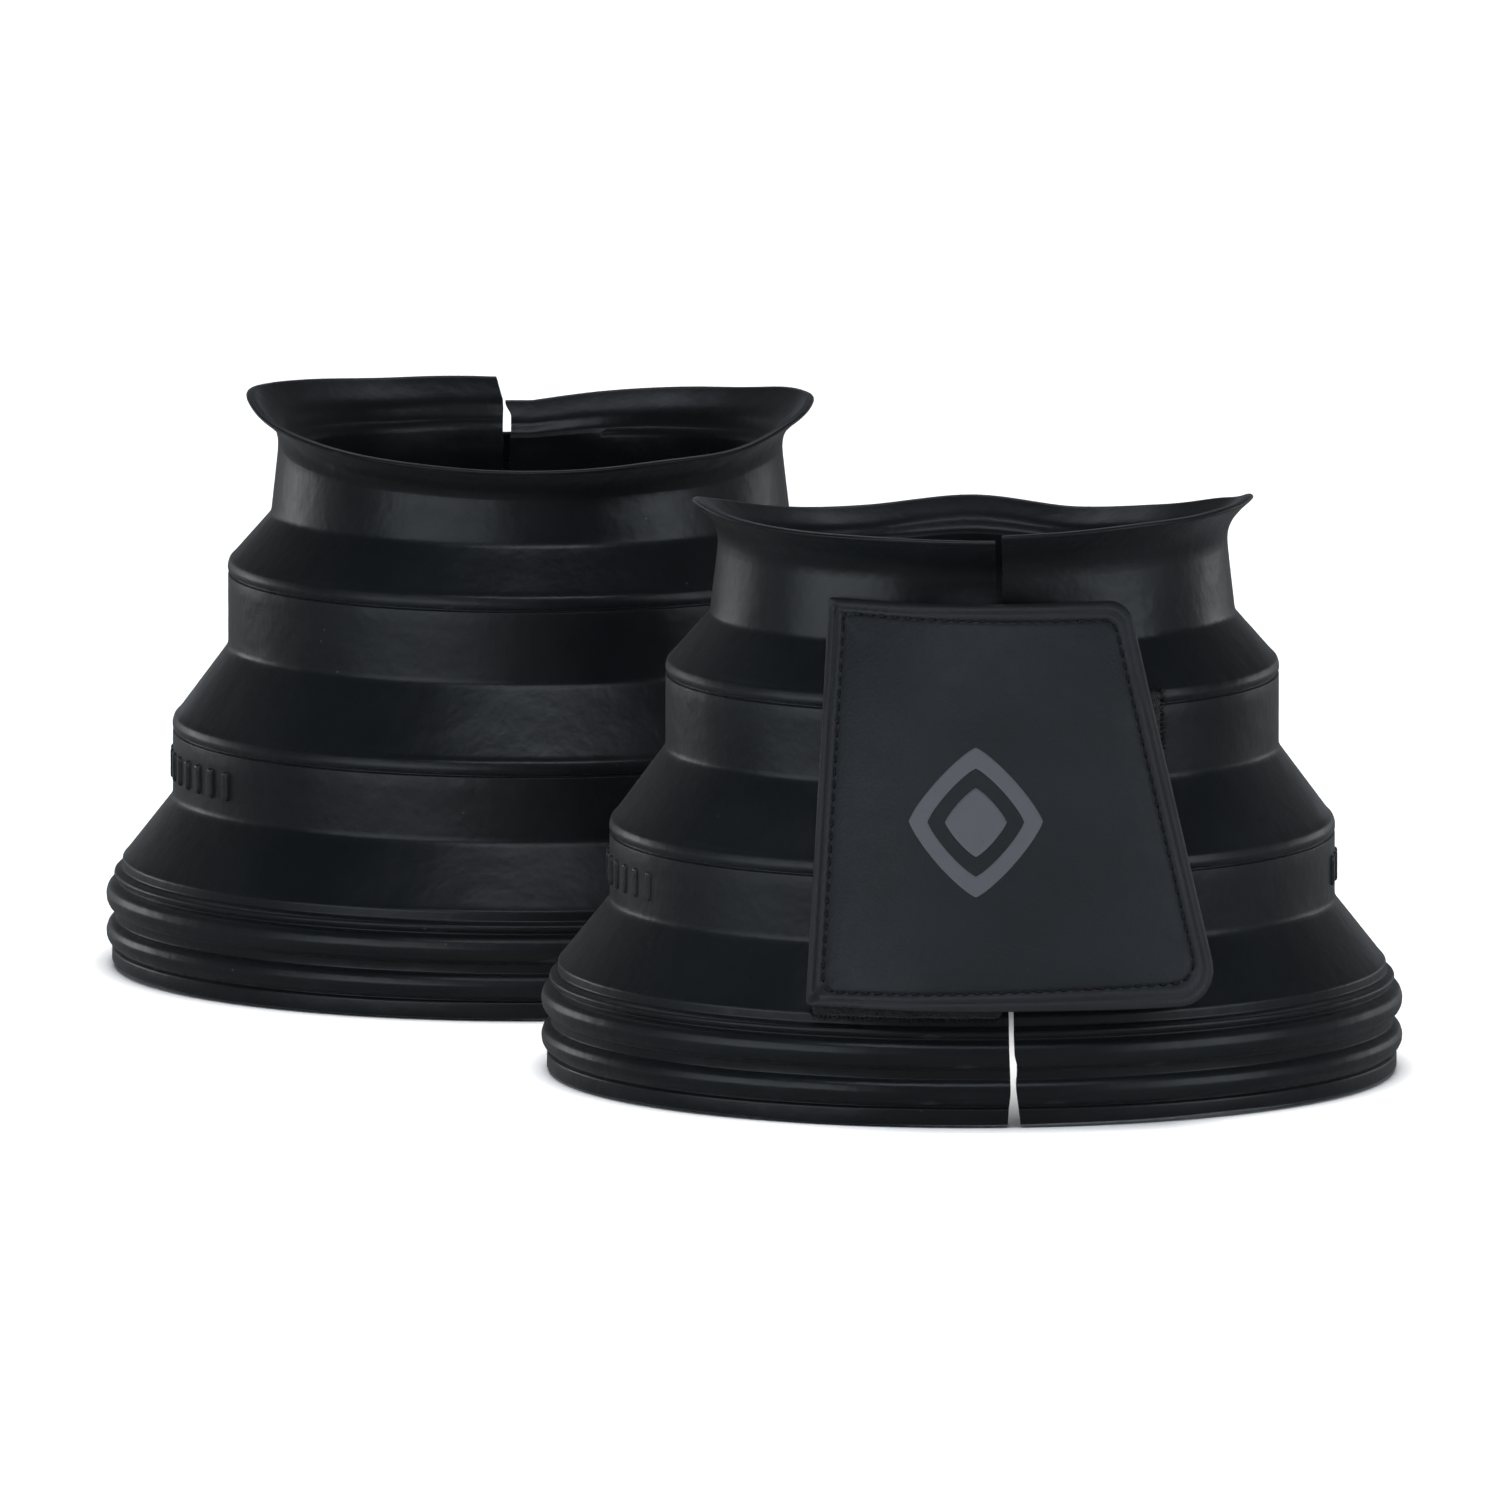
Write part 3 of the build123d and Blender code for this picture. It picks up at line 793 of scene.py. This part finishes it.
def swell_at(heights, x, z):
    """The simulated height of the cover at a place of the front view."""
    v = np.clip((z - SEAM_CORNERS[1][1]) / (SEAM_CORNERS[0][1] - SEAM_CORNERS[1][1]), 0, 1)
    left = edge_x(*SEAM_CORNERS[:2], z)
    right = edge_x(SEAM_CORNERS[3], SEAM_CORNERS[2], z)
    u = np.clip((x - left) / (right - left), 0, 1)
    size = len(heights) - 1
    i, j = np.minimum((u * size).astype(int), size - 1), np.minimum((v * size).astype(int), size - 1)
    a, b = u * size - i, v * size - j
    low = heights[i, j] * (1 - a) + heights[i + 1, j] * a
    high = heights[i, j + 1] * (1 - a) + heights[i + 1, j + 1] * a
    return low * (1 - b) + high * b


def leftness(x, z):
    """1 along the flap's left edge and 0 along its other three."""
    to_left = x - edge_x(*FLAP_CORNERS[:2], z)
    to_ends = np.minimum(FLAP_CORNERS[0][1] - z, z - FLAP_CORNERS[1][1])
    return smooth(to_ends - to_left, -1.2, 1.2) * (to_left < 12)


def panel_height(heights, x, z):
    """The height of the flap's cover over its underside, away from the seam."""
    from_left = smooth(x - edge_x(*SEAM_CORNERS[:2], z), 0, 9)
    return 3.05 + (FLAP_THICK - 3.05) * from_left + swell_at(heights, x, z)


def flap_rings(heights):
    """The rings of the flap's outside from its underside's edge to its middle, as front view and height."""
    counts = side_counts(FLAP_CORNERS, OUTLINE_PITCH)
    outline = rounded_polygon(FLAP_CORNERS, FLAP_RADII, counts)
    seam = rounded_polygon(SEAM_CORNERS, SEAM_RADII, counts)
    rings = []
    pucker = np.cos(2 * math.pi * run_along(seam) / STITCH_PITCH)
    for share, height, left_height in EDGE_SECTION:
        flat = outline * (1 - share) + seam * share
        side = leftness(*flat.T)
        level = height * (1 - side) + left_height * side
        level = level + 0.10 * pucker * smooth(share, 0.6, 0.95) * (height > 1)
        rings.append((flat, level))
    middle = seam.mean(0)
    inward = middle - seam
    reach = np.linalg.norm(inward, axis=1, keepdims=True)
    side = leftness(*seam.T)
    for distance, height, left_height in PANEL_SECTION:
        flat = seam + inward * distance / reach
        level = height * (1 - side) + left_height * side + swell_at(heights, *flat.T) * smooth(distance, 0, 4)
        rings.append((flat, level))
    start = rings[-1][0]
    for share in np.linspace(0, 0.985, 34)[1:]:
        flat = start + (middle - start) * share
        rings.append((flat, panel_height(heights, *flat.T)))
    return rings, middle


def flap(side, heights):
    """The whole padded flap, sewn edge and all, as one closed piece."""
    rings, middle = flap_rings(heights)
    outline = rings[0][0]
    points = [on_cone(*flat.T, flap_lift(*flat.T) + level) for flat, level in rings]
    under_shares = (0.12, 0.4, 0.7, 0.92)
    for share in under_shares:
        flat = outline + (middle - outline) * share
        points.append(on_cone(*flat.T, flap_lift(*flat.T) - 0.02))
    at_middle = flap_lift(*middle)
    points.append(on_cone(middle[:1], middle[1:], at_middle + panel_height(heights, *middle)))
    points.append(on_cone(middle[:1], middle[1:], at_middle))
    outside, bridge, under, top_fan, under_fan = closed_form(len(rings), len(under_shares), len(outline))
    faces = outside + top_fan + bridge + under + under_fan
    cover, edge, lining = range(3)
    edge_faces = len(EDGE_SECTION) * len(outline)
    face_materials = [edge] * edge_faces + [cover] * (len(outside) - edge_faces + len(top_fan))
    face_materials += [edge] * len(bridge) + [lining] * (len(under) + len(under_fan))
    made = piece(side, "padded_flap", np.concatenate(points), faces, [LEATHER, BINDING, LINING],
                 "flap_leather", face_materials)
    outwards(made)
    fold(made, side, rows=FOLD_ROWS)
    nodes = ("flap_panel", "flap_core", "flap_lining", "flap_binding", "flap_anchor")
    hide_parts(*(f"{side}_{node}" for node in nodes))


def outwards(made):
    """Turns every face of a closed mesh to the outside."""
    work = bmesh.new()
    work.from_mesh(made.data)
    bmesh.ops.recalc_face_normals(work, faces=work.faces)
    work.to_mesh(made.data)
    work.free()


def hinge(name):
    """A joint's middle point and direction, in the row frame."""
    joint = next(j for j in frame["joints"] if j["name"] == name)
    return Vector(joint["pos_m"]), Vector(joint["axis"]).normalized()


def cut_across(made, place, across, rows):
    """Adds rows of points to a sheet where it bends, so that it bends in a round curve."""
    mesh = bmesh.new()
    mesh.from_mesh(made.data)
    for step in np.linspace(*FOLD_CUTS, rows):
        bmesh.ops.bisect_plane(mesh, geom=mesh.verts[:] + mesh.edges[:] + mesh.faces[:], dist=1e-7,
                               plane_co=place + across * float(step) * MM, plane_no=across)
    mesh.to_mesh(made.data)
    mesh.free()


def fold(made, side, part="flap", rows=0):
    """Adds rows of points to a piece along the sewn edge between the boot and its flap or tab, when rows is
    given, and bakes its place into its points.
    """
    place, axis = hinge(f"{side}_{part}_fold")
    low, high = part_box(f"{side}_flap_lining" if part == "flap" else f"{side}_tab_base")
    out = ((low + high) / 2) - place
    across = (out - axis * out.dot(axis))
    turn = SIDES[side]
    up = Vector((place.x - turn * BOOT_X * MM, place.y - turn * BOOT_Y * MM, 0)).normalized()
    up = (up - axis * up.dot(axis)).normalized()
    across = (across - up * across.dot(up)).normalized()
    if rows:
        cut_across(made, place, across, rows)
    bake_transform(made)


def stitches(side, name, outline, level):
    """Stitches round a closed outline of the front view; level gives their distance off the cone."""
    flat, way = stitch_places(outline)
    shares = np.linspace(-0.5, 0.5, 7)
    places = flat[:, None] + way[:, None] * (shares * STITCH_LENGTH)[None, :, None]
    dip = STITCH_DIP * (2 * np.abs(shares))**3
    lines = on_cone(places[..., 0], places[..., 1], level(*flat.T)[:, None] - dip[None])
    return piece(side, name, *tubes(lines, STITCH_R), [THREAD], "thread")


def seam_level(x, z):
    """How far off the cone the thread of the flap's seam is."""
    left = leftness(x, z)
    return flap_lift(x, z) + (2.55 * (1 - left) + 1.45 * left)


def flap_thread(side):
    """The row of stitches that runs round the flap's seam."""
    seam = rounded_polygon(SEAM_CORNERS, SEAM_RADII, side_counts(FLAP_CORNERS, OUTLINE_PITCH))
    made = stitches(side, "flap_thread", seam, seam_level)
    fold(made, side)
    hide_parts(f"{side}_flap_stitching", f"{side}_flap_anchor_stitching")


def badge(side, heights):
    """A plain lozenge in a lozenge frame, printed on the flap."""
    parts = [lozenge_band(heights, 1.0, 0.72), lozenge_band(heights, 0.46, 0.0)]
    made = piece(side, "badge_print", *joined(parts), [PRINT], "badge_print")
    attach(made, f"{side}_flap")
    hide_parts(f"{side}_flap_badge")


def lozenge_band(heights, outer, inner):
    """A lozenge-shaped band of print between two shares of the badge's size, with soft corners."""
    columns, rows, softness, smallest = 240, 10, 0.82, 0.004
    film, sunk = 0.07, -0.05
    turn = np.linspace(0, 2 * math.pi, columns, endpoint=False)
    across = np.stack([np.cos(turn), np.sin(turn)], 1)
    shape = np.sign(across) * np.abs(across)**(2 * softness)
    rings = [(outer, sunk)] + [(share, film) for share in np.linspace(outer, max(inner, smallest), rows)]
    if inner:
        rings.append((inner, sunk))
    faces = grid_faces(len(rings), columns, closed=True)
    if not inner:
        last = (len(rings) - 1) * columns
        faces.append(list(range(last, last + columns)))
    points = []
    for share, height in rings:
        flat = np.array(BADGE_CENTRE) + shape * np.array(BADGE_HALF) * share
        points.append(on_cone(*flat.T, flap_lift(*flat.T) + panel_height(heights, *flat.T) + height))
    return np.concatenate(points), faces


# ---- pads, tab and fibres

def sheet_piece(corners, radii, lift, thick, rough=0.0, seed=0):
    """A thin closed sheet with rounded edges, from a front outline; lift gives its underside off the cone."""
    outline = rounded_polygon(corners, radii, side_counts(corners, SHEET_PITCH), 5)
    count = len(outline)
    middle = outline.mean(0)
    ragged = rough * np.random.default_rng(seed).uniform(-1, 1, (count, 1))
    inward = unit(middle - outline)
    # The rounded edge: how far in and how far up each ring is, as shares of the thickness
    section = [(0.5, 0.0), (0.12, 0.1), (0.0, 0.45), (0.1, 0.85), (0.5, 1.0)]
    rings = [(outline + inward * (distance * thick + ragged), level * thick) for distance, level in section]
    face_edge = rings[-1][0]
    for share in np.linspace(0, 0.98, 26)[1:]:
        rings.append((face_edge * (1 - share) + middle * share, thick))
    points = [on_cone(*flat.T, lift(*flat.T) + level) for flat, level in rings]
    under_shares = (0.3, 0.6, 0.98)
    for share in under_shares:
        flat = outline * (1 - share) + middle * share
        points.append(on_cone(*flat.T, lift(*flat.T)))
    for level in (thick, 0):
        points.append(on_cone(middle[:1], middle[1:], lift(*middle) + level))
    return np.concatenate(points), sum(closed_form(len(rings), len(under_shares), count), [])


def pad_lift(x, z):
    """The shell's loop pad lies on the beads, and sinks a little between them."""
    sunk = 0.5 * np.exp(-((z - 65) / 9)**2)
    return 0.02 - sunk - 0.4 * np.exp(-((z - 35) / 8)**2) - 1.6 * smooth(z, 84, 97)


def tab_lift(x, z):
    """The tab lies over the pad and the split, and its sewn end follows the band."""
    sewn = smooth(x, 31, 40)
    hug = -2.6 * np.exp(-((z - 70) / 7)**2) - 2.2 * np.exp(-((z - 40) / 6)**2)
    return 1.3 - 1.2 * sewn + hug * sewn


def fibres(side, name, roots, outward, length, seed):
    """Short curled fibres that stand from their roots towards outward."""
    random = np.random.default_rng(seed)
    count = len(roots)
    way = unit(outward + random.normal(0, 0.45, (count, 3)))
    curl = unit(np.cross(way, random.normal(0, 1, (count, 3))))
    reach = length * random.uniform(0.45, 1.25, (count, 1, 1))
    share = np.linspace(0, 1, 6)[None, :, None]
    swing = FIBRE_BEND * random.uniform(-1, 1.6, (count, 1, 1))
    lines = roots[:, None] + way[:, None] * reach * np.sin(share * 1.9)
    lines = lines + curl[:, None] * reach * swing * share**2
    return piece(side, name, *tubes(lines, FIBRE_R, 3), [FIBRE], "loop_fabric")


def face_fibres(corners, radii, lift, thick, count, seed, bare_below=-2.0):
    """Roots and directions of fibres on a sheet's face and along its edges.

    An edge is bare where its direction's x is below bare_below."""
    random = np.random.default_rng(seed)
    outline = rounded_polygon(corners, radii, side_counts(corners, 1.0), 5)
    spread = count // 2
    index = random.integers(0, len(outline), count)
    middle = outline.mean(0)
    inset = np.concatenate([random.uniform(0, 1, spread)**0.5, np.full(count - spread, 1.0)])[:, None]
    flat = middle + (outline[index] - middle) * inset + random.normal(0, 0.35, (count, 2)) * (inset < 1)
    on_edge = inset[:, 0] >= 1
    level = thick * np.where(on_edge, random.uniform(0.1, 1, count), 0.95)
    roots = on_cone(*flat.T, lift(*flat.T) + level)
    radial = unit(roots * (1, 1, 0))
    away = unit(outline[index] - middle)
    sideways = np.stack([away[:, 0], 0 * away[:, 0], away[:, 1]], 1)
    outward = np.where(on_edge[:, None], sideways + 0.35 * radial, radial)
    bare = on_edge & (sideways[:, 0] < bare_below)
    return roots[~bare], outward[~bare]


def hook_field(side, part, corners, radii, level):
    """Hook tape inside the flap or the tab: a thin backing with rows of small bent hooks towards the boot."""
    backing = sheet_piece(corners, radii, level, 0.35)
    low_x, low_z = np.min(corners, axis=0) + HOOK_MARGIN
    high_x, high_z = np.max(corners, axis=0) - HOOK_MARGIN
    columns, rows = np.arange(low_x, high_x, HOOK_PITCH), np.arange(low_z, high_z, HOOK_PITCH)
    x, z = np.meshgrid(columns, rows, indexing="ij")
    x = x + (np.arange(x.shape[1]) % 2) * HOOK_PITCH / 2
    right = edge_x(corners[3], corners[2], z) - HOOK_MARGIN
    x, z = x[x < right], z[x < right]
    foot = level(x, z) + 0.05
    # One hook, from its foot to its tip: how far it rises and how far it leans, to one side or the other
    rise = -np.array([0, 0.35, 0.6, 0.72, 0.6])
    reach = np.array([0, 0.0, 0.08, 0.3, 0.45])
    lean = 1 - 2 * (np.arange(len(x)) % 2)
    lines = on_cone(x[:, None] + 0 * rise, z[:, None] + reach * lean[:, None], foot[:, None] + rise)
    points, faces = joined([backing, tubes(lines, HOOK_R, 4)])
    made = piece(side, f"{part}_hooks", points, faces, [HOOKS], "hook_tape")
    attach(made, f"{side}_{part}")
    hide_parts(f"{side}_{part}_hook_pad")


def edge_thread(side, name, sheet, insets, radii):
    """A row of stitches round a sheet, inside its outline by a step at each corner."""
    corners, _, lift, thick = sheet
    inner = np.array(corners) + np.array(insets)
    line = rounded_polygon(inner, radii, side_counts(inner, OUTLINE_PITCH))
    return stitches(side, name, line, lambda x, z: lift(x, z) + thick + THREAD_LIFT)


def loop_pad(side):
    """The loop pad on the shell, from the flap's sewn edge to the split, with its fibres and its thread."""
    sheet = (PAD_CORNERS, PAD_RADII, pad_lift, PAD_THICK)
    points, faces = sheet_piece(*sheet, rough=0.12, seed=5)
    made = piece(side, "shell_loop_tape", points, faces, [LOOPS], "loop_fabric")
    outwards(made)
    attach(made, f"{side}_boot")
    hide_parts(f"{side}_shell_loop_pad")
    roots = face_fibres(*sheet, 3400, 7, bare_below=-0.5)
    fuzz = fibres(side, "shell_loop_fibres", *roots, 1.1, 8)
    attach(fuzz, f"{side}_boot")
    insets = [(8.5, -2), (8.5, 2), (-2, 2), (-2, -2)]
    thread = edge_thread(side, "shell_loop_thread", sheet, insets, [1.5] * 4)
    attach(thread, f"{side}_boot")
    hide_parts(f"{side}_loop_pad_stitching")


def tab(side):
    """The tab that closes the split, with its loop face, its fibres, its thread and its hooks."""
    sheet = (TAB_CORNERS, TAB_RADII, tab_lift, TAB_THICK)
    points, faces = sheet_piece(*sheet, rough=0.1, seed=9)
    made = piece(side, "closing_tab", points, faces, [LOOPS], "loop_fabric")
    outwards(made)
    fold(made, side, "tab", FOLD_ROWS)
    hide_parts(*(f"{side}_{node}" for node in ("tab_base", "tab_loop_pad", "tab_anchor")))
    roots = face_fibres(*sheet, 5200, 17)
    fuzz = fibres(side, "tab_fibres", *roots, 1.35, 18)
    fold(fuzz, side, "tab")
    insets = [(1.8, -1.8), (1.8, 1.8), (-4.6, 1.8), (-4.6, -1.8)]
    thread = edge_thread(side, "tab_thread", sheet, insets, [2.5, 2.5, 0.8, 0.8])
    fold(thread, side, "tab")
    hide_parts(f"{side}_tab_stitching", f"{side}_tab_anchor_stitching")
    hook_field(side, "tab", TAB_HOOK_CORNERS, TAB_HOOK_RADII, lambda x, z: tab_lift(x, z) - 0.25)


def flap_hooks(side):
    """The hook tape on the inside of the flap."""
    hook_field(side, "flap", HOOK_CORNERS, HOOK_RADII, lambda x, z: flap_lift(x, z) - 0.3)


# ---- the stage

def softbox(name, place, width, height, radiance, color):
    """A soft rectangular light that points at the boots, by how bright its face is."""
    data = bpy.data.lights.new(name, "AREA")
    data.shape = "RECTANGLE"
    data.size, data.size_y = width, height
    data.energy = radiance * math.pi * width * height
    data.color = color
    made = placed(name, data)
    made.location = place
    made.rotation_euler = (Vector(SOFTBOX_TARGET) - Vector(place)).to_track_quat("-Z", "Y").to_euler()


def floor_light(floor):
    """An even light straight down that only the floor takes, so that it is pale all over."""
    data = bpy.data.lights.new("floor_light", "SUN")
    data.energy = FLOOR_BRIGHTNESS * math.pi / FLOOR_COLOR
    data.angle = math.radians(44)
    made = placed("floor_light", data)
    only = bpy.data.collections.new("floor_only")
    only.objects.link(floor)
    made.light_linking.receiver_collection = only


def stage():
    """A plain pale floor just under the boots with its own light, six softboxes and the sky."""
    half = 40.0
    corners = [(-half, -half, 0), (half, -half, 0), (half, half, 0), (-half, half, 0)]
    mesh = bpy.data.meshes.new("floor")
    mesh.from_pydata(corners, [], [(0, 1, 2, 3)])
    mesh.materials.append(floor_finish())
    keep_drawn(mesh, np.array(corners) / MM)
    floor = placed("floor", mesh)
    floor.location.z = -0.0002
    floor.visible_glossy = False
    floor_light(floor)
    for light in SOFTBOXES:
        softbox(*light)
    sky()


def sky():
    """The light from all round: pale at the horizon and dim overhead."""
    world = bpy.data.worlds.new("studio")
    bpy.context.scene.world = world
    world.use_nodes = True
    tree = world.node_tree
    background = tree.nodes["Background"]
    place = tree.nodes.new("ShaderNodeTexCoord")
    split = tree.nodes.new("ShaderNodeSeparateXYZ")
    tree.links.new(place.outputs["Generated"], split.inputs[0])
    ramp = tree.nodes.new("ShaderNodeValToRGB")
    tree.links.new(split.outputs["Z"], ramp.inputs["Fac"])
    tree.links.new(ramp.outputs["Color"], background.inputs["Color"])
    stops = ramp.color_ramp.elements
    for height in (0.02, 0.08):
        stops.new(height)
    levels = (BELOW_BRIGHTNESS, HORIZON_BRIGHTNESS, SKY_BRIGHTNESS, SKY_BRIGHTNESS)
    for stop, brightness in zip(stops, levels):
        stop.color = (*(brightness * share for share in COOL), 1)


def camera():
    """One long lens a little above the boots, looking along +Y."""
    distance, elevation, frame_width, aim_z = 11.0, math.radians(7.8), 0.3065, 0.0545
    data = bpy.data.cameras.new("camera")
    data.sensor_width = 36.0
    data.lens = data.sensor_width * distance / frame_width
    data.clip_end = 100
    made = placed("camera", data)
    aim = Vector((0, 0, aim_z))
    back = Vector((0, -math.cos(elevation), math.sin(elevation)))
    made.location = aim + back * distance
    made.rotation_euler = (-back).to_track_quat("-Z", "Y").to_euler()
    bpy.context.scene.camera = made


camera()
stage()
bpy.context.scene.view_settings.view_transform = "Standard"
swell = leather_swell()
for boot_side in SIDES:
    bell(boot_side)
    band_bars(boot_side)
    loop_pad(boot_side)
    tab(boot_side)
    flap(boot_side, swell)
    flap_thread(boot_side)
    badge(boot_side, swell)
    flap_hooks(boot_side)
